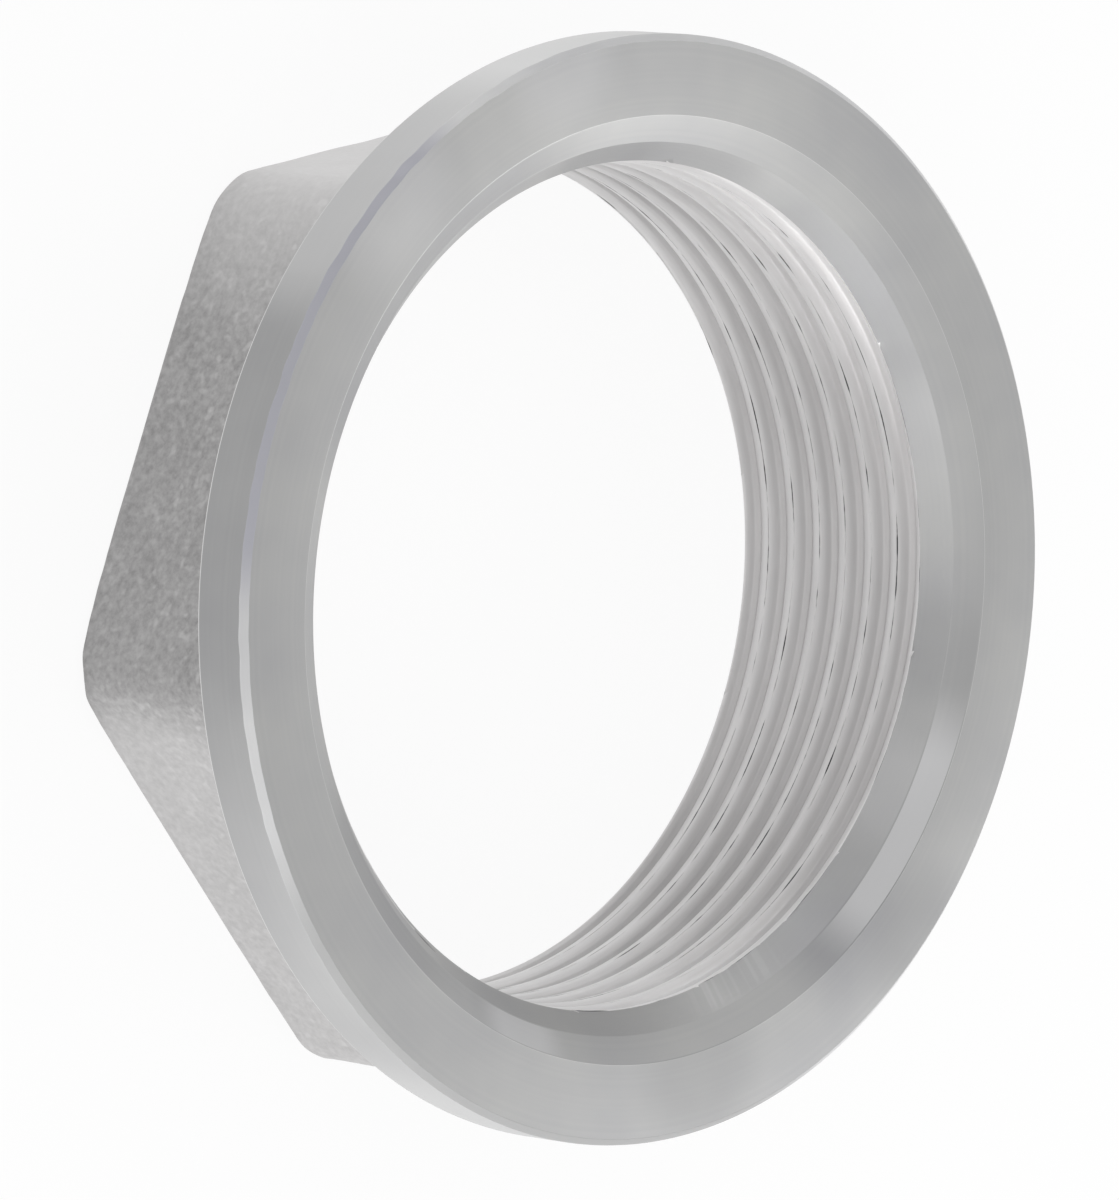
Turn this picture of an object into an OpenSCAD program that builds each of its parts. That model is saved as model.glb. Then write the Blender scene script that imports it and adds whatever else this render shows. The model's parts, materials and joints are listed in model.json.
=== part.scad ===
// A flanged hexagon lock nut, cast as one piece, then turned on the flange side
// and threaded right through. It lies on the free end of its hexagon with the
// flange up, and the origin is the centre of that end. The bore stands at the
// thread's crests.

/* [Thread] */
// Major diameter of the thread, at its roots
thread_d = 53.75; // [30:0.25:90]
// Depth of the thread, from its roots to its crests
thread_depth = 0.6; // [0.2:0.05:1.5]
// Chamfer that opens the bore at the hexagon end
bore_chamfer = 0.15; // [0.05:0.05:0.6]

/* [Hexagon] */
// Height of the whole nut
nut_h = 18.55; // [12:0.05:40]
// Metal left between the thread's roots and each flat
flat_wall = 1.2; // [0.8:0.05:8]
// Radius of the six upright corners
corner_r = 3; // [1:0.1:6]
// Radius along the edges of the free end
edge_r = 0.8; // [0.2:0.05:1.4]
// Slope of the crowned free end, in degrees
crown_angle = 11; // [4:1:25]

/* [Flange] */
// How far the flange stands out past the flats
flange_reach = 6.3; // [5:0.05:15]
// Thickness of the flange
flange_t = 4.15; // [3:0.05:9]
// Chamfer round the front edge of the rim
rim_chamfer = 0.4; // [0.1:0.05:1]
// Radius round the back edge of the rim
rim_r = 0.25; // [0.1:0.05:1]

/* [Mouth] */
// Gap between the thread's roots and the step between the two cones
step_gap = 0.8; // [0.1:0.05:2]
// Width of the shallow outer cone
seat_w = 1.7; // [0.5:0.05:3]
// Depth of the shallow outer cone
seat_h = 1.1; // [0.3:0.05:2]
// Depth of the steep inner cone
lead_h = 1.7; // [0.5:0.05:3]

/* [Hidden] */
$fn = 96;

// The thread's roots, and its crests, where the bore stands
root_r = thread_d / 2;
crest_r = root_r - thread_depth;

// The hexagon, from its axis to a flat, to the middle of a corner's arc and to
// the outermost point of that arc
sides = 6;
turn = 360 / sides;
flat_r = root_r + flat_wall;
corner_mid = (flat_r - corner_r) / cos(turn / 2);
corner_reach = corner_mid + corner_r;
hex_h = nut_h - flange_t;
// The hexagon runs on into the flange by this much, so the two are one solid
root_h = flange_t / 2;

// The crown starts where the rounded end edge leaves the flat ring of the end
crown_start = flat_r - edge_r;
// Room outside the corners, so the crown's own edge only trims their ends
crown_room = 0.05;
crown_r = corner_reach + crown_room;
crown_arc_z = (crown_r - edge_r - crown_start) * tan(crown_angle) + edge_r / cos(crown_angle);

flange_r = flat_r + flange_reach;

// The mouth, from the thread's first crest out to the flange face
step_r = root_r + step_gap;
mouth_r = step_r + seat_w;
step_z = nut_h - seat_h;
lead_z = step_z - lead_h;
// How far cutting shapes run past the faces that they open
over = 1;

function polar(r, a) = r * [cos(a), sin(a)];

// Outline of the hexagon: straight flats joined by an arc at each corner
module hexagon_outline() {
    polygon([for (k = [0:sides - 1], half = [-turn / 2, turn / 2])
        polar(corner_mid, k * turn) + polar(corner_r, k * turn + half)]);
    for (k = [0:sides - 1])
        translate(polar(corner_mid, k * turn)) circle(corner_r);
}

// Everything between two opposite flats, with their end edges rounded
module between_flats() {
    rotate([90, 0, 0]) linear_extrude(2 * (corner_reach + over), center = true) {
        translate([-flat_r, edge_r]) square([2 * flat_r, hex_h + root_h - edge_r]);
        translate([-crown_start, 0]) square([2 * crown_start, edge_r]);
        for (side = [-1, 1])
            translate([side * crown_start, edge_r]) circle(edge_r);
    }
}

// The turned crown: a flat ring, a shallow cone and a rounded edge at the corners
module crown() {
    rotate_extrude() {
        arc_mid = [crown_r - edge_r, crown_arc_z];
        polygon([
            [0, 0],
            [crown_start, 0],
            arc_mid + polar(edge_r, crown_angle - 90),
            arc_mid,
            arc_mid + [edge_r, 0],
            [crown_r, hex_h + root_h],
            [0, hex_h + root_h],
        ]);
        translate(arc_mid) circle(edge_r);
    }
}

// The cast hexagon
module hexagon() {
    intersection() {
        linear_extrude(hex_h + root_h) hexagon_outline();
        for (k = [0:sides / 2 - 1]) rotate(turn / 2 + k * turn) between_flats();
        crown();
    }
}

// The turned flange, before the bore is cut
module flange() {
    rotate_extrude() {
        polygon([
            [0, hex_h],
            [flange_r - rim_r, hex_h],
            [flange_r - rim_r, hex_h + rim_r],
            [flange_r, hex_h + rim_r],
            [flange_r, nut_h - rim_chamfer],
            [flange_r - rim_chamfer, nut_h],
            [0, nut_h],
        ]);
        translate([flange_r - rim_r, hex_h + rim_r]) circle(rim_r);
    }
}

// The bore with its end chamfer and the two cones of its mouth
module bore() {
    rotate_extrude() polygon([
        [0, -over],
        [crest_r + bore_chamfer + over, -over],
        [crest_r, bore_chamfer],
        [crest_r, lead_z],
        [step_r, step_z],
        [mouth_r + over * seat_w / seat_h, nut_h + over],
        [0, nut_h + over],
    ]);
}

module lock_nut() {
    color([0.70, 0.70, 0.69]) difference() {
        union() {
            hexagon();
            flange();
        }
        bore();
    }
}

lock_nut();
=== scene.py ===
import json

import bmesh
import bpy
import numpy as np
from mathutils import Matrix, Vector


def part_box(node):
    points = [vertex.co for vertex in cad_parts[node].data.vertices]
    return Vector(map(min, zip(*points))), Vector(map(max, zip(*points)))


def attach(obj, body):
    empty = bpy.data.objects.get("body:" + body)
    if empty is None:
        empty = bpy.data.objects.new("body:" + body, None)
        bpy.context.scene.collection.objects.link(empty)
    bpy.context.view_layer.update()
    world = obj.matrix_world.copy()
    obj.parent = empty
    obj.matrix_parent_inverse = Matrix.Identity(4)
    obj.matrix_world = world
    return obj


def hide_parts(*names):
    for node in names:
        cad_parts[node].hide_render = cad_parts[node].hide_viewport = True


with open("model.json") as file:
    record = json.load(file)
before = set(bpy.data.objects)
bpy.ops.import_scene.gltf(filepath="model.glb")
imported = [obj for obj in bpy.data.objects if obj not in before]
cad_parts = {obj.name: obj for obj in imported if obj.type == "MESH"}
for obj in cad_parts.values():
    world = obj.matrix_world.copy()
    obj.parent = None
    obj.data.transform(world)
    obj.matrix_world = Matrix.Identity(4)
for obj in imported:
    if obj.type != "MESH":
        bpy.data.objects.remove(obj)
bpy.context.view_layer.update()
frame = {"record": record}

# The nut is one steel casting, a hexagon with a round flange at one end and a bore right
# through. It was cast in a mould and blasted, then the flange side was turned in a lathe.
# Its sizes are in millimetres, and its outline goes once round its section, row by row.
MM = 0.001
nut_low, nut_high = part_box("lock_nut")
nut_h = nut_high.z / MM
flange_r = nut_high.x / MM
flat_r = 28.075
corner_r = 3.0
edge_r = 0.8
crown_angle = np.radians(11)
flange_t = 4.15
hex_h = nut_h - flange_t

# The headings of the columns: twelve steps round each corner's arc, wider ones on the flats
SIDES = 6
side_turn = 2 * np.pi / SIDES
corner_mid = (flat_r - corner_r) / np.cos(side_turn / 2)
corner_half = np.arctan2(corner_r * np.sin(side_turn / 2), corner_mid + corner_r * np.cos(side_turn / 2))
arc_steps, flat_steps = 12, 64
one_side = np.concatenate([
    np.linspace(-corner_half, corner_half, arc_steps, endpoint=False),
    np.linspace(corner_half, side_turn - corner_half, flat_steps, endpoint=False),
])
heading = (one_side + side_turn * np.arange(SIDES)[:, None]).ravel()
columns = len(heading)
# The corner that the mould filled least sharply
soft_corner, soft_corner_r = 2, 4.3


def section_row(radius, height):
    """One ring of the surface: the radius and height at every heading, given as arrays or single values."""
    return np.stack(np.broadcast_arrays(radius, height, heading)[:2], axis=-1).astype(float)


def hexagon_radius(angle):
    """Distance from the axis to the hexagon's outline: flat_r over the cosine of the angle from the flat's
    middle, or, near a corner, the far crossing of the heading with the corner's circle."""
    off_corner = (angle + side_turn / 2) % side_turn - side_turn / 2
    flat = flat_r / np.cos(side_turn / 2 - np.abs(off_corner))
    round_r = np.where(np.round(angle / side_turn) == soft_corner, soft_corner_r, corner_r)
    middle = (flat_r - round_r) / np.cos(side_turn / 2)
    half = np.arctan2(round_r * np.sin(side_turn / 2), middle + round_r * np.cos(side_turn / 2))
    across = middle * np.sin(off_corner)
    arc = middle * np.cos(off_corner) + np.sqrt(np.maximum(round_r**2 - across**2, 0))
    return np.where(np.abs(off_corner) < half, arc, flat)


def uneven(points, size, seed):
    """Smooth unevenness of about plus or minus one: a sum of sine waves through space, with random
    directions and phases, each about one size long."""
    draw = np.random.default_rng(seed)
    waves, slowest, quickest = 24, 0.6, 1.5
    wave = draw.normal(size=(waves, 3))
    pace = 2 * np.pi / size / np.linalg.norm(wave, axis=1) * draw.uniform(slowest, quickest, waves)
    wave *= pace[:, None]
    return np.sin(points @ wave.T + draw.uniform(0, 2 * np.pi, waves)).sum(axis=-1) / np.sqrt(waves)


def in_space(rows):
    """Points in space of rows that hold radius and height: the radius turned to each column's heading."""
    radius, height = rows[..., 0], rows[..., 1]
    return np.stack([radius * np.cos(heading), radius * np.sin(heading), height], axis=-1)


# The cast hexagon, from the root of the flange down its flats, round its end edge and in over
# the crowned end. Its flats are as the mould left them, a few hundredths of a millimetre uneven.
cast_swell = 0.035
cast_swell_size = 5.0
crown_start = flat_r - edge_r
crown_room = 0.05
hex_r = hexagon_radius(heading)
crown_r = corner_mid + corner_r + crown_room
crown_arc_z = (crown_r - edge_r - crown_start) * np.tan(crown_angle) + edge_r / np.cos(crown_angle)


def crown_height(radius):
    """Height of the crowned end: a flat ring, then a shallow cone, then an arc at the corners' ends."""
    cone = np.maximum(radius - crown_start, 0) * np.tan(crown_angle)
    past = np.clip(radius - (crown_r - edge_r), 0, edge_r)
    arc = crown_arc_z - np.sqrt(edge_r**2 - past**2)
    return np.where(past > edge_r * np.sin(crown_angle), arc, cone)


root_fillet = 0.3
swell_fade = 2.0
wall_rows, edge_rows, ring_rows = 26, 9, 4
wall_bottom = np.maximum(edge_r, crown_height(hex_r))
wall_share = np.linspace(0, 1, wall_rows)[:, None]
wall_z = (hex_h - root_fillet) * (1 - wall_share) + wall_bottom * wall_share
wall = section_row(hex_r, wall_z)
edge_turn = np.radians(np.linspace(0, 90, edge_rows)[1:, None])
end_r = hex_r - edge_r * (1 - np.cos(edge_turn)) * hex_r / flat_r
end_edge = section_row(end_r, np.maximum(edge_r * (1 - np.sin(edge_turn)), crown_height(end_r)))
hexagon = np.concatenate([wall, end_edge])
swell = cast_swell * uneven(in_space(hexagon), cast_swell_size, seed=11)
hexagon_z = hexagon[..., 1]
swell *= np.clip((hex_h - hexagon_z) / swell_fade, 0, 1) * np.clip(hexagon_z / edge_r, 0, 1)
hexagon[..., 0] += swell
crown_ring_share = np.linspace(0, 1, ring_rows)[1:, None]
crown_ring_r = crown_start * (hex_r / flat_r * (1 - crown_ring_share) + crown_ring_share)
crown_ring = section_row(crown_ring_r, crown_height(crown_ring_r))

# The thread, formed right through the bore after turning: a parallel pipe thread, right-handed. The
# tap pressed narrow grooves into the metal, which rose between them into broad round crests, and
# each crest has a fine seam along its top, open in places.
thread_mount = next(m for m in frame["record"]["mounts"] if m["name"] == "thread")
crest_r = thread_mount["dims"]["r_mm"]
pitch = 2.309
thread_depth = 0.6
crest_fall = 0.45
groove_half = 0.13
root_round = 0.6
seam_heading = np.radians(-9.2)
seam_z = 9.2
seam_depth = 0.07
seam_size = 3.0
seam_open_from = 0.3
shade_line_part = 1.1
# Where the painted shade on the thread is strongest, in shares of a pitch above the seam, and its least share
painted_shade_middle, painted_shade_least = 0.34, 0.4
bore_chamfer = 0.15
step_gap, seat_w, seat_h, lead_h = 0.8, 1.7, 1.1, 1.7
step_r = crest_r + thread_depth + step_gap
step_z = nut_h - seat_h
lead_z = step_z - lead_h
lead_slope = (step_r - crest_r) / lead_h
thread_over = 0.05
thread_top = lead_z + thread_depth / lead_slope + thread_over
# The rows of one pitch, in thousandths of it, close together at the seam and in the groove
steps = np.array([
    0, 15, 80, 170, 260, 330, 360, 375, 415, 458, 500, 545, 600, 630, 650, 740, 840, 930, 985,
]) / 1000


def thread_radius(off_seam):
    """Radius at a share of the pitch away from the nearest seam: the crest falls away as a parabola, and the
    groove halfway between two seams is a V whose root is rounded as a hyperbola."""
    fall = crest_fall * (2 * off_seam) ** 2
    off_root = np.minimum((0.5 - off_seam) / groove_half, 1)
    rounded_v = (np.hypot(off_root, root_round) - root_round) / (np.hypot(1, root_round) - root_round)
    return crest_r + fall + (thread_depth - crest_fall) * (1 - rounded_v)


# Each thread row climbs one pitch in a turn, and rows that pass an end of the bore stop there
turns = int(np.ceil(thread_top / pitch)) + 2
first_seam = seam_z + pitch * (heading[0] - seam_heading) / (2 * np.pi)
first_seam -= pitch * (np.ceil(first_seam / pitch) + 1)
share = (np.arange(turns)[:, None] + steps).ravel()
share = share[first_seam + pitch * (share - 1) < thread_top + pitch]
thread_z = first_seam + pitch * (share[:, None] + (heading - heading[0]) / (2 * np.pi))
end_snap = 0.02
thread_z = np.where(thread_z < end_snap, 0, np.where(thread_z > thread_top - end_snap, thread_top, thread_z))


def thread_at(height):
    """The share of a pitch above the seam below it, the thread's radius and the radius of the cone or chamfer
    that may cut it off, all at a height."""
    above = (height - seam_z) / pitch - (heading - seam_heading) / (2 * np.pi)
    cone = np.maximum(crest_r + (height - lead_z) * lead_slope, crest_r + bore_chamfer - height)
    return above, thread_radius(np.abs((above + 0.5) % 1 - 0.5)), cone


# Where the cone cuts the thread off, the nearest row moves to the very edge
_, thread_r, cone_r = thread_at(thread_z)
gap = thread_r - cone_r
edge_between = gap[:-1] * gap[1:] < 0
edge_share = gap[:-1] / np.where(edge_between, gap[:-1] - gap[1:], 1)
edge_z = thread_z[:-1] + edge_share * (thread_z[1:] - thread_z[:-1])
on_edge = np.zeros(thread_z.shape, bool)
for part, is_nearest in ((slice(None, -1), edge_share < 0.5), (slice(1, None), edge_share >= 0.5)):
    thread_z[part] = np.where(edge_between & is_nearest, edge_z, thread_z[part])
    on_edge[part] |= edge_between & is_nearest
above_seam, thread_r, cone_r = thread_at(thread_z)
off_seam = np.abs((above_seam + 0.5) % 1 - 0.5)
on_thread = (thread_r > cone_r) | on_edge
thread_cut = on_thread & np.roll(on_thread, -1, 0)
seam_open = uneven(in_space(section_row(thread_r, thread_z)), seam_size, seed=5) > seam_open_from
thread_r += seam_depth * seam_open * np.clip(1 - off_seam / steps[1], 0, 1)
thread = section_row(np.maximum(thread_r, cone_r), thread_z)

# The turned flange side: the two cones of the mouth, the flat face, the rim with its front
# chamfer, and the back face down to the hexagon. The tool left each edge very slightly round.
mouth_r = step_r + seat_w
rim_chamfer = 0.4
rim_r = 0.25
tool_edge = 0.06
chatter = 0.06
chatter_size = 1.8
wave_heading = np.radians(140)


def rounded(before, corner, after, radius, count):
    """Rows of an arc that rounds a corner between two straight stretches of the section: its centre is on
    the line that halves the corner, and its points turn evenly from one stretch to the other."""
    unit = lambda v: v / np.linalg.norm(v, axis=-1, keepdims=True)
    to_before, to_after = unit(before - corner), unit(after - corner)
    half = np.arccos(np.clip((to_before * to_after).sum(-1, keepdims=True), -1, 1)) / 2
    centre = corner + unit(to_before + to_after) * radius / np.sin(half)
    start = unit(corner + to_before * radius / np.tan(half) - centre)
    end = unit(corner + to_after * radius / np.tan(half) - centre)
    turn = np.pi - 2 * half
    part = np.linspace(0, 1, count)[:, None, None]
    return centre + radius * (np.sin((1 - part) * turn) * start + np.sin(part * turn) * end) / np.sin(turn)


rim_wave = chatter * uneven(in_space(section_row(flange_r, nut_h)), chatter_size, seed=3)
rim_wave *= np.clip(np.cos(heading - wave_heading), 0, 1)
corners = [
    section_row(crest_r + (thread_top - lead_z) * lead_slope, thread_top),
    section_row(step_r, step_z),
    section_row(mouth_r, nut_h),
    section_row(flange_r - rim_chamfer - rim_wave / 2, nut_h),
    section_row(flange_r, nut_h - rim_chamfer + rim_wave),
    section_row(flange_r, hex_h),
    section_row(hex_r, hex_h),
    section_row(hex_r, hex_h - root_fillet),
]
corner_radii = [tool_edge, tool_edge, tool_edge, tool_edge, rim_r, root_fillet]
corner_rows = [4, 4, 4, 4, 7, 5]
# Painted highlight: how far the mouth edge and the rim's back edge are painted brighter
corner_brightening = [0.0, 0.6, 0.0, 0.0, 1.0, 0.0]
turned = np.concatenate([
    rounded(*corners[i:i + 3], corner_radii[i], corner_rows[i]) for i in range(len(corner_radii))
])

# The rows joined into one closed skin. A thread row's last column runs on into the row one
# turn above it, and any other row closes on itself.
rows = np.concatenate([thread, turned, hexagon[1:], crown_ring])
row_count, thread_rows = len(rows), len(thread)
grid = np.arange(row_count * columns).reshape(row_count, columns)
row_after_turn = np.arange(row_count)
row_after_turn[:thread_rows] = np.minimum(row_after_turn[:thread_rows] + len(steps), thread_rows - 1)
ahead = np.column_stack([grid[:, 1:], grid[row_after_turn, 0]])
faces = np.stack([grid, np.roll(grid, -1, 0), np.roll(ahead, -1, 0), ahead], axis=-1).reshape(-1, 4)

# For the finishes, each point has its place along the section in millimetres, then how far its edge is
# painted brighter, or on the thread how much painted shade it takes, and last its distance in millimetres
# from the nearest seam of the thread or from the edge that the cone cut
along = np.cumsum(np.linalg.norm(np.diff(rows[:, 0], axis=0, prepend=rows[:1, 0]), axis=1))
edge_brightening = np.concatenate([
    most * np.sin(np.linspace(0, np.pi, count)) for most, count in zip(corner_brightening, corner_rows)
])
lay = np.zeros((row_count, columns, 3), np.float32)
lay[..., 0] = along[:, None]
lay[thread_rows:thread_rows + len(turned), :, 1] = edge_brightening[:, None]
lay[..., 2] = pitch / 2
# Painted shade: the thread is painted darker on the upper side of each crest
painted_shade_band = painted_shade_least + (1 - painted_shade_least) * (0.5 + 0.5 * np.cos(2 * np.pi * (above_seam - painted_shade_middle))) ** 2
lay[:thread_rows, :, 1] = (on_thread & ~on_edge) * painted_shade_band
# The painted dark line follows the edge where the lead cone cuts the thread
shade_line_z = np.where(edge_between & (edge_z > nut_h / 2), edge_z, -nut_h)
off_edge = np.abs(thread_z[:, None] - shade_line_z).min(axis=1) * shade_line_part
lay[:thread_rows, :, 2] = np.minimum(off_seam * pitch, off_edge)

CAST, TURNED, RIM, THREAD, FILED = range(5)
finish = np.full((row_count, columns), TURNED)
finish[:thread_rows][thread_cut] = THREAD
rim_start = thread_rows + sum(corner_rows[:4]) - 1
finish[rim_start:thread_rows + len(turned) - 1] = RIM
finish[thread_rows + sum(corner_rows[:2]):rim_start] = FILED
hexagon_start = thread_rows + len(turned) - 1
finish[hexagon_start:hexagon_start + len(hexagon)] = CAST

weld, sliver = 0.002 * MM, 0.001 * MM
sharp_angle = np.radians(38)
mesh = bpy.data.meshes.new("lock_nut_skin")
mesh.from_pydata(in_space(rows).reshape(-1, 3) * MM, [], faces)
mesh.attributes.new("lay", "FLOAT_VECTOR", "POINT").data.foreach_set("vector", lay.ravel())
mesh.polygons.foreach_set("material_index", finish.ravel().astype(np.int32))
skin = bmesh.new()
skin.from_mesh(mesh)
bmesh.ops.remove_doubles(skin, verts=skin.verts, dist=weld)
bmesh.ops.dissolve_degenerate(skin, edges=skin.edges, dist=sliver)
skin.to_mesh(mesh)
skin.free()
mesh.polygons.foreach_set("use_smooth", np.ones(len(mesh.polygons), bool))
mesh.set_sharp_from_angle(angle=sharp_angle)
nut = bpy.data.objects.new("lock_nut_casting", mesh)
bpy.context.scene.collection.objects.link(nut)


def linear(hex_colour):
    """An sRGB hex colour as linear red, green and blue with an alpha of one."""
    value = np.array([int(hex_colour[i:i + 2], 16) for i in (1, 3, 5)]) / 255
    return (*np.where(value <= 0.04045, value / 12.92, ((value + 0.055) / 1.055) ** 2.4), 1.0)


def node(tree, kind, inputs=None, **settings):
    """Adds a node with its settings. Each input is linked where a socket is given, and set where a value
    is given."""
    made = tree.nodes.new("ShaderNode" + kind)
    for name, value in settings.items():
        setattr(made, name, value)
    for key, value in (inputs or {}).items():
        if isinstance(value, bpy.types.NodeSocket):
            tree.links.new(value, made.inputs[key])
        else:
            made.inputs[key].default_value = value
    return made


def finish_of(name):
    """A new material with the shader of a metal, its tree, and the place on the object in metres."""
    material = bpy.data.materials.new(name)
    material.use_nodes = True
    tree = material.node_tree
    metal = tree.nodes["Principled BSDF"]
    metal.inputs["Metallic"].default_value = 1.0
    return material, tree, metal, node(tree, "TexCoord").outputs["Object"]


def patch_share(tree, place, middle_heading, middle_r, middle_z, full, none):
    """How far a point belongs to a round patch on the nut: all within one reach of its middle, and not at
    all past another, with the heading in degrees and the rest in millimetres."""
    turn = np.radians(middle_heading)
    middle = (middle_r * np.cos(turn) * MM, middle_r * np.sin(turn) * MM, middle_z * MM)
    far = node(tree, "VectorMath", {0: place, 1: middle}, operation="DISTANCE")
    reach = {"From Min": full * MM, "From Max": none * MM, "To Min": 1.0, "To Max": 0.0}
    reach["Value"] = far.outputs["Value"]
    return node(tree, "MapRange", reach, interpolation_type="SMOOTHSTEP").outputs[0]


def patches(tree, place, *rows):
    """The sum of several patches: each row holds a patch's part, then its middle and its two reaches."""
    total = 0.0
    for part, *patch in rows:
        share = patch_share(tree, place, *patch)
        total = node(tree, "Math", {0: share, 1: part, 2: total}, operation="MULTIPLY_ADD").outputs[0]
    return total


# Cast stainless steel, blasted: a dull skin that scatters light broadly, with a sandy grain of
# about half a millimetre, pale specks that crowd towards the flange, and painted highlights on two flats.
cast, tree, metal, place = finish_of("blasted_cast_steel")
grain_mm, cloud_mm, speck_mm = 0.5, 4.0, 0.8
cloud_part, speck_least, speck_part = 0.35, 0.1, 0.45
mottle_from, mottle_to, speck_from, speck_to = 0.45, 0.9, 0.6, 0.72
cast_roughness, cast_bump, cast_bump_mm = 0.6, 0.25, 0.08
grain = {"Vector": place, "Scale": 1 / (grain_mm * MM), "Detail": 3.0, "Roughness": 0.6}
grain = node(tree, "TexNoise", grain)
cloud = node(tree, "TexNoise", {"Vector": place, "Scale": 1 / (cloud_mm * MM), "Detail": 2.0})
speck = node(tree, "TexNoise", {"Vector": place, "Scale": 1 / (speck_mm * MM), "Detail": 1.0})
mottle = {0: cloud.outputs["Fac"], 1: cloud_part, 2: grain.outputs["Fac"]}
mottle = node(tree, "Math", mottle, operation="MULTIPLY_ADD")
mottle = {"Value": mottle.outputs[0], "From Min": mottle_from, "From Max": mottle_to}
mottle = node(tree, "MapRange", mottle)
skin = {0: mottle.outputs[0], 6: linear("#979696"), 7: linear("#B3B2B2")}
skin = node(tree, "Mix", skin, data_type="RGBA")
rise = node(tree, "SeparateXYZ", {0: place})
rise = {"Value": rise.outputs[2], "From Max": hex_h * MM, "To Min": speck_least, "To Max": speck_part}
rise = node(tree, "MapRange", rise)
speck = {"Value": speck.outputs["Fac"], "From Min": speck_from, "From Max": speck_to}
speck = node(tree, "MapRange", speck)
speck = node(tree, "Math", {0: speck.outputs[0], 1: rise.outputs[0]}, operation="MULTIPLY")
skin = node(tree, "Mix", {0: speck.outputs[0], 6: skin.outputs[2], 7: linear("#DAD9D9")}, data_type="RGBA")
# Painted highlights: the flats round headings of about 100 and 214 degrees are painted lighter where light
# falls on them
painted_highlight = patches(tree, place, (0.8, 100, 30, 8, 7, 21), (0.4, 214, 30, 6, 13, 19))
skin = node(tree, "Mix", {0: painted_highlight, 6: skin.outputs[2], 7: linear("#DCDBDB")}, data_type="RGBA")
tree.links.new(skin.outputs[2], metal.inputs["Base Color"])
metal.inputs["Roughness"].default_value = cast_roughness
bump = {"Height": grain.outputs["Fac"], "Strength": cast_bump, "Distance": cast_bump_mm * MM}
bump = node(tree, "Bump", bump)
tree.links.new(bump.outputs[0], metal.inputs["Normal"])

# Turned stainless steel: satin, with the tool's rings round the axis, so light spreads across
# them, and a brighter line painted along some edges. The feed is about a tenth of a millimetre, drawn three
# times as coarse to show.
feed_mm, smudge_mm, ring_part = 0.3, 9.0, 0.2
tone_from, tone_to, ring_bump, ring_bump_mm = 0.4, 0.8, 0.2, 0.01
turned_roughness, ring_spread, quarter_turn = 0.55, 0.5, 0.25


def turned_finish(name, dark, light):
    """Turned metal between two tones: rings that follow the section under cloudy handling smudges, and edges
    painted brighter. Gives the material, its tree, its shader, the place on the object and the colour so far."""
    material, tree, metal, place = finish_of(name)
    lay_node = node(tree, "Attribute", attribute_name="lay")
    across = node(tree, "SeparateXYZ", {0: lay_node.outputs["Vector"]})
    rings = {"W": across.outputs[0], "Scale": 1 / feed_mm, "Detail": 2.0}
    rings = node(tree, "TexNoise", rings, noise_dimensions="1D")
    smudge = node(tree, "TexNoise", {"Vector": place, "Scale": 1 / (smudge_mm * MM), "Detail": 3.0})
    tone = {0: rings.outputs["Fac"], 1: ring_part, 2: smudge.outputs["Fac"]}
    tone = node(tree, "Math", tone, operation="MULTIPLY_ADD")
    tone = node(tree, "MapRange", {"Value": tone.outputs[0], "From Min": tone_from, "From Max": tone_to})
    colour = node(tree, "Mix", {0: tone.outputs[0], 6: linear(dark), 7: linear(light)}, data_type="RGBA")
    # Painted highlight: edges painted towards near white by the lay's second value
    colour = {0: across.outputs[1], 6: colour.outputs[2], 7: linear("#F0F0EF")}
    colour = node(tree, "Mix", colour, data_type="RGBA")
    around = node(tree, "VectorMath", {0: (0, 0, 1), 1: place}, operation="CROSS_PRODUCT")
    around = node(tree, "VectorMath", {0: around.outputs[0]}, operation="NORMALIZE")
    bump = {"Height": rings.outputs["Fac"], "Strength": ring_bump, "Distance": ring_bump_mm * MM}
    bump = node(tree, "Bump", bump)
    tree.links.new(around.outputs[0], metal.inputs["Tangent"])
    tree.links.new(bump.outputs[0], metal.inputs["Normal"])
    metal.inputs["Roughness"].default_value = turned_roughness
    metal.inputs["Anisotropic"].default_value = ring_spread
    metal.inputs["Anisotropic Rotation"].default_value = quarter_turn
    return material, tree, metal, place, colour.outputs[2]


# The face and the mouth, with the tool's slanted chatter marks in the inner cone, which fade out just below
# the step, and a dark bluish patch of painted shade above them
lathed, tree, metal, place, colour = turned_finish("turned_steel", "#B0B0B1", "#B9B9B8")
chatter_mm, chatter_lean = 0.67, 0.5
chatter_from, chatter_to, chatter_part, chatter_fade = 0.48, 0.65, 0.2, 0.4
spot = node(tree, "SeparateXYZ", {0: place})
turn = node(tree, "Math", {0: spot.outputs[1], 1: spot.outputs[0]}, operation="ARCTAN2")
turn = {0: spot.outputs[2], 1: chatter_lean / (crest_r * MM), 2: turn.outputs[0]}
turn = node(tree, "Math", turn, operation="MULTIPLY_ADD")
streak = {"W": turn.outputs[0], "Scale": crest_r / chatter_mm, "Detail": 1.0}
streak = node(tree, "TexNoise", streak, noise_dimensions="1D")
chatter_reach = {"From Min": chatter_from, "From Max": chatter_to, "To Max": chatter_part}
streak = {"Value": streak.outputs["Fac"], **chatter_reach}
streak = node(tree, "MapRange", streak)
streak = {0: streak.outputs[0], 1: patch_share(tree, place, 281, 26.9, 16.3, 2.0, 5.5)}
streak = node(tree, "Math", streak, operation="MULTIPLY")
below_step = {"From Min": (step_z - chatter_fade) * MM, "From Max": step_z * MM, "To Min": 1.0, "To Max": 0.0}
below_step["Value"] = spot.outputs[2]
below_step = node(tree, "MapRange", below_step)
streak = node(tree, "Math", {0: streak.outputs[0], 1: below_step.outputs[0]}, operation="MULTIPLY")
colour = {0: streak.outputs[0], 6: colour, 7: linear("#DADADB")}
colour = node(tree, "Mix", colour, data_type="RGBA").outputs[2]
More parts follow.
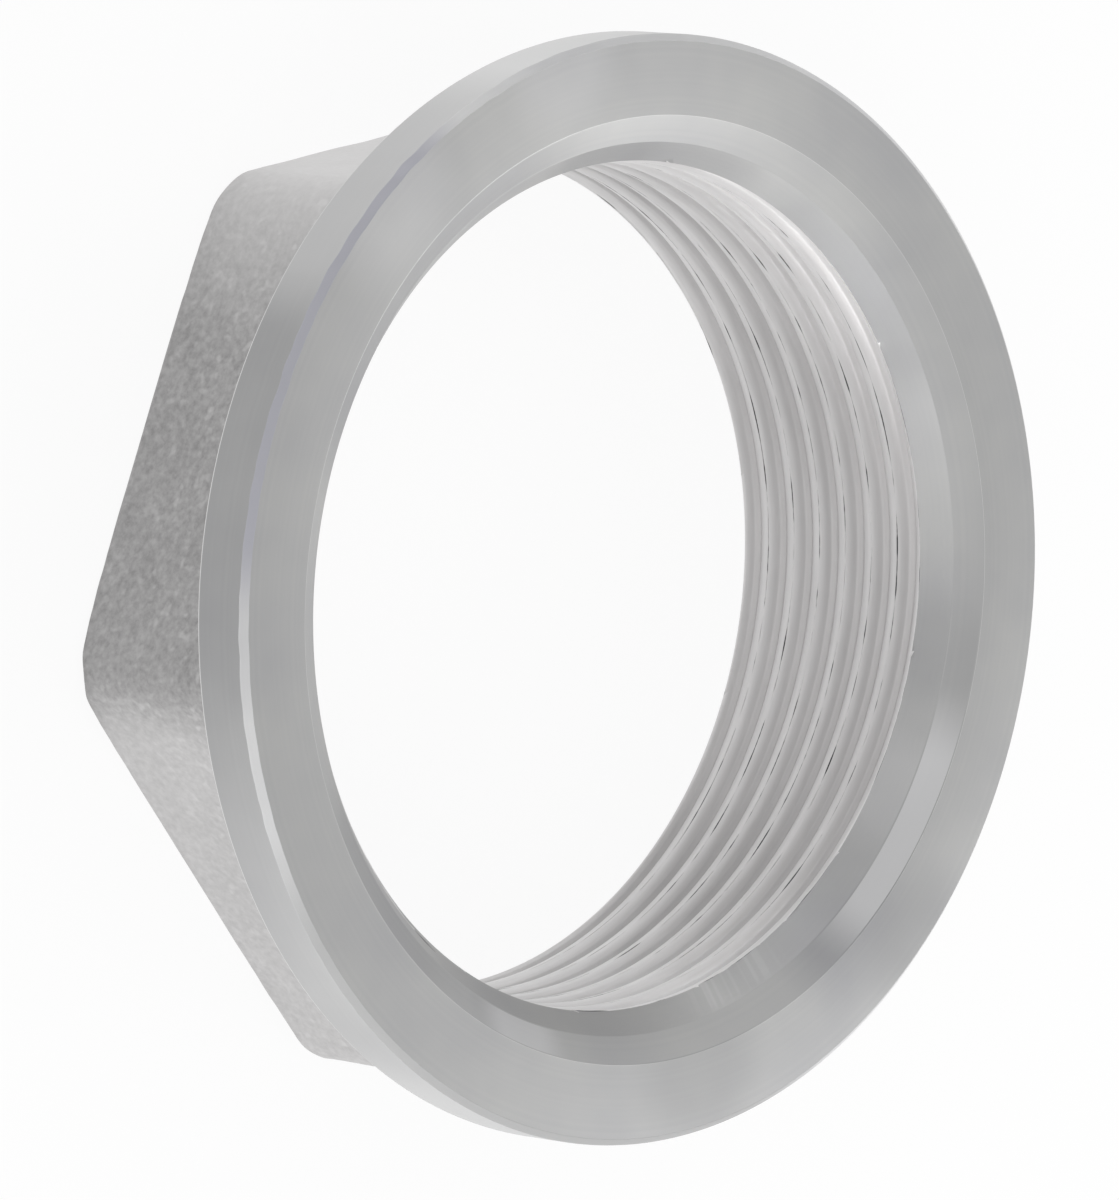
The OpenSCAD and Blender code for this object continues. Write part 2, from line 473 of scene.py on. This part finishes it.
# Painted shade: a dark bluish patch on the cones round heading 299 degrees
painted_dark_patch = patches(tree, place, (0.4, 299, 28.2, 17.8, 0.5, 6.5))
colour = node(tree, "Mix", {0: painted_dark_patch, 6: colour, 7: linear("#8E8E93")}, data_type="RGBA").outputs[2]
# Painted shade and painted highlights on the face and cones, each kept to the face or to one cone by its
# height and half height. A patch has its part, its heading, its distance from the axis and its two reaches.
seat_mid, lead_mid = nut_h - seat_h / 2, step_z - lead_h / 2
painted_shade_and_highlights = (
    (nut_h, 0.05, "#8F8F91", ((0.33, 270, 30.2, 2, 7), (0.38, 307, 33.2, 1.5, 6.5))),
    (nut_h, 0.05, "#DADADB", ((0.28, 124, 34, 2, 7), (0.22, 96, 34, 2, 6))),
    (seat_mid, 0.5, "#8F8F91", (
        (0.42, 125, 28.5, 10, 18.5), (0.31, 210, 28.5, 5, 10), (0.2, 340, 28.5, 1, 4.5),
    )),
    (seat_mid, 0.5, "#DADADB", ((0.77, 315, 28.5, 5, 10.5), (0.45, 240, 28.5, 1.5, 4.5))),
    (lead_mid, 0.85, "#8F8F91", (
        (0.46, 35, 27, 6, 11), (0.3, 87, 27, 2.5, 6), (0.3, 340, 27, 1.5, 5), (0.32, 287, 27, 1.5, 5),
    )),
    (lead_mid, 0.85, "#DADADB", ((0.25, 320, 27, 1.5, 5),)),
)
for patch_z, half_z, tone, patch_rows in painted_shade_and_highlights:
    within = node(tree, "Math", {0: spot.outputs[2], 1: patch_z * MM, 2: half_z * MM}, operation="COMPARE")
    painted_patch = patches(tree, place, *((*patch[:3], patch_z, *patch[3:]) for patch in patch_rows))
    painted_patch = node(tree, "Math", {0: painted_patch, 1: within.outputs[0]}, operation="MULTIPLY")
    colour = {0: painted_patch.outputs[0], 6: colour, 7: linear(tone)}
    colour = node(tree, "Mix", colour, data_type="RGBA").outputs[2]
tree.links.new(colour, metal.inputs["Base Color"])

# The rim, which was turned before the casting was blasted, so it is duller, with painted highlights round
# headings of about 90 and 235 degrees
rim_lathed, tree, metal, place, colour = turned_finish("blasted_turned_steel", "#A3A3A4", "#ADADAD")
rim_z = nut_h - flange_t / 2
# Painted highlights on the rim, lighter where light falls on it
painted_highlight = patches(
    tree, place,
    (0.57, 104, flange_r, rim_z, 16.6, 23),
    (0.45, 86, flange_r, rim_z, 7.5, 15),
    (0.42, 240, flange_r, rim_z, 3, 13),
    (0.2, 225, flange_r, rim_z, 16, 30),
)
colour = node(tree, "Mix", {0: painted_highlight, 6: colour, 7: linear("#D2D2D2")}, data_type="RGBA").outputs[2]
tree.links.new(colour, metal.inputs["Base Color"])

# The chamfer, filed by hand, so it is rougher and scatters light more evenly, with painted shade round
# headings of about 141 and 242 degrees
filed, tree, metal, place, colour = turned_finish("filed_steel", "#D5D5D6", "#DEDEDE")
filed_roughness = 0.8
# Painted shade: the chamfer is painted darker at two headings
painted_shade_patch = patch_share(tree, place, 141, flange_r, nut_h, 13, 18)
colour = node(tree, "Mix", {0: painted_shade_patch, 6: colour, 7: linear("#C4C4CA")}, data_type="RGBA").outputs[2]
painted_shade_patch = patch_share(tree, place, 242, flange_r, nut_h, 20, 30)
colour = node(tree, "Mix", {0: painted_shade_patch, 6: colour, 7: linear("#BEBEBE")}, data_type="RGBA").outputs[2]
metal.inputs["Roughness"].default_value = filed_roughness
tree.links.new(colour, metal.inputs["Base Color"])

# Formed stainless steel: smooth crests with the marks of the tap drawn out along them, painted shade in
# broken stretches along the seams and along the edge at the cone, and painted shade on the upper side of each
# crest, strongest on one side of the bore.
threaded, tree, metal, place = finish_of("formed_steel_thread")
drag_mm, tear_mm = 0.35, 3.0
drag_stretch, tear_fall, crease_shade_from, crease_shade_to = 0.08, 3.0, 0.43, 0.57
thread_roughness = 0.58
lay_node = node(tree, "Attribute", attribute_name="lay")
across = node(tree, "SeparateXYZ", {0: lay_node.outputs["Vector"]})
stretch = node(tree, "Mapping", {"Vector": place, "Scale": (drag_stretch, drag_stretch, 1.0)})
drag = {"Vector": stretch.outputs[0], "Scale": 1 / (drag_mm * MM), "Detail": 3.0}
drag = node(tree, "TexNoise", drag)
tear = node(tree, "TexNoise", {"Vector": place, "Scale": 1 / (tear_mm * MM), "Detail": 4.0})
# Painted shade: dark in broken stretches near the seams and near the cone's edge
crease_shade = {0: across.outputs[2], 1: -tear_fall, 2: tear.outputs["Fac"]}
crease_shade = node(tree, "Math", crease_shade, operation="MULTIPLY_ADD")
crease_shade = node(tree, "MapRange", {"Value": crease_shade.outputs[0], "From Min": crease_shade_from, "From Max": crease_shade_to})
drawn_and_shaded = {0: drag.outputs["Fac"], 6: linear("#D5D4D4"), 7: linear("#EDECEC")}
drawn_and_shaded = node(tree, "Mix", drawn_and_shaded, data_type="RGBA")
# Painted shade: the thread is painted darker round heading 338 degrees, and a little round 55 degrees
painted_shade_side = patches(tree, place, (0.66, 338, crest_r, 9, 14, 31), (0.15, 55, crest_r, 15.5, 7, 15))
painted_shade_side = node(tree, "Math", {0: painted_shade_side, 1: across.outputs[1]}, operation="MULTIPLY")
drawn_and_shaded = node(tree, "Mix", {0: painted_shade_side.outputs[0], 6: drawn_and_shaded.outputs[2], 7: linear("#A6A4A4")}, data_type="RGBA")
# Painted shade: the dark crease colour mixed in
cut = node(tree, "Mix", {0: crease_shade.outputs[0], 6: drawn_and_shaded.outputs[2], 7: linear("#444446")}, data_type="RGBA")
tree.links.new(cut.outputs[2], metal.inputs["Base Color"])
metal.inputs["Roughness"].default_value = thread_roughness

for material in (cast, lathed, rim_lathed, threaded, filed):
    mesh.materials.append(material)
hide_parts("lock_nut")
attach(nut, "root")

# The camera stands well back and looks down at the flange side, turned so that the hexagon's
# corner points left in the picture. The picture is 1119 by 1200, and its long side sets the lens.
camera_heading, camera_tilt, up_heading = np.radians([163.651, 44.395, 82.242])
camera_distance = 740.46
picture_right, picture_up = 5.838, 0.538
lens_mm, sensor_mm, nearest = 360.3, 36, 0.05
out = np.sin(camera_tilt)
back = Vector((out * np.cos(camera_heading), out * np.sin(camera_heading), np.cos(camera_tilt)))
right = Vector((np.cos(up_heading), np.sin(up_heading), 0)).cross(back).normalized()
up = back.cross(right)
aim = Vector((0, 0, nut_h)) - picture_right * right - picture_up * up
camera = bpy.data.objects.new("camera", bpy.data.cameras.new("camera"))
camera.data.sensor_width = sensor_mm
camera.data.lens = lens_mm
camera.data.clip_start = nearest
camera_turn = Matrix((right, up, back)).transposed().to_4x4()
camera.matrix_world = Matrix.Translation((aim + camera_distance * back) * MM) @ camera_turn
bpy.context.scene.collection.objects.link(camera)
bpy.context.scene.camera = camera

# A plain white floor, which shows white to the camera and in the metal, and takes a faint shadow.
floor_half = 3.0
floor_gap = 0.00002
shown_white = 0.9
paper_roughness = 0.9
floor_mesh = bpy.data.meshes.new("floor")
floor_corners = np.array([(-1, -1), (1, -1), (1, 1), (-1, 1)]) * floor_half
floor_z = np.full(len(floor_corners), nut_low.z - floor_gap)
floor_mesh.from_pydata(np.column_stack([floor_corners, floor_z]), [], [(0, 1, 2, 3)])
floor = bpy.data.objects.new("floor", floor_mesh)
bpy.context.scene.collection.objects.link(floor)
paper = bpy.data.materials.new("white_paper")
paper.use_nodes = True
tree = paper.node_tree
path = node(tree, "LightPath")
seen = {0: path.outputs["Is Camera Ray"], 1: path.outputs["Is Glossy Ray"]}
seen = node(tree, "Math", seen, operation="MAXIMUM")
seen = node(tree, "Math", {0: seen.outputs[0], 1: path.outputs["Is Transmission Ray"]}, operation="MAXIMUM")
seen = node(tree, "Math", {0: seen.outputs[0], 1: shown_white}, operation="MULTIPLY")
matt = tree.nodes["Principled BSDF"]
matt.inputs["Base Color"].default_value = linear("#F4F4F4")
matt.inputs["Roughness"].default_value = paper_roughness
white = node(tree, "Emission", {"Color": linear("#FFFFFF"), "Strength": 1.0})
shown = node(tree, "MixShader", {0: seen.outputs[0], 1: matt.outputs[0], 2: white.outputs[0]})
tree.links.new(shown.outputs[0], tree.nodes["Material Output"].inputs["Surface"])
floor_mesh.materials.append(paper)

# Soft studio light: a pale room, strips of light low round the nut, and larger lamps higher up.
room_level = 0.5
world = bpy.data.worlds.new("pale_room")
world.use_nodes = True
world.node_tree.nodes["Background"].inputs["Color"].default_value = linear("#FFFFFF")
world.node_tree.nodes["Background"].inputs["Strength"].default_value = room_level
bpy.context.scene.world = world
bpy.context.scene.view_settings.view_transform = "Standard"


def soft_lamp(name, lamp_heading, lamp_rise, power, width, height):
    """A lamp that faces the nut from a heading and a rise above the floor, both in degrees. Its power is in
    watts, and its width and height are in metres."""
    turn, rise = np.radians([lamp_heading, lamp_rise])
    away = Vector((np.cos(rise) * np.cos(turn), np.cos(rise) * np.sin(turn), np.sin(rise)))
    lamp = bpy.data.objects.new(name, bpy.data.lights.new(name, "AREA"))
    lamp.data.shape = "RECTANGLE"
    lamp.data.energy = power
    lamp.data.size, lamp.data.size_y = width, height
    lamp.location = away * lamp_distance
    lamp.rotation_euler = away.to_track_quat("Z", "Y").to_euler()
    bpy.context.scene.collection.objects.link(lamp)


lamp_distance = 1.1
soft_lamp("strip_above", 77, 8, 2.7, 0.9, 0.25)
soft_lamp("strip_lower_left", 227, 8, 3.55, 0.9, 0.25)
soft_lamp("strip_below", 257, 8, 4.25, 0.9, 0.25)
soft_lamp("strip_right", 347, 8, 0.65, 0.9, 0.25)
soft_lamp("lamp_lower_right", 317, 25, 3.75, 0.8, 0.5)
soft_lamp("high_upper_left", 137, 45, 1.75, 0.8, 0.7)
soft_lamp("high_lower_left", 197, 45, 2.5, 0.8, 0.7)
soft_lamp("high_right", 17, 45, 1.35, 0.8, 0.7)
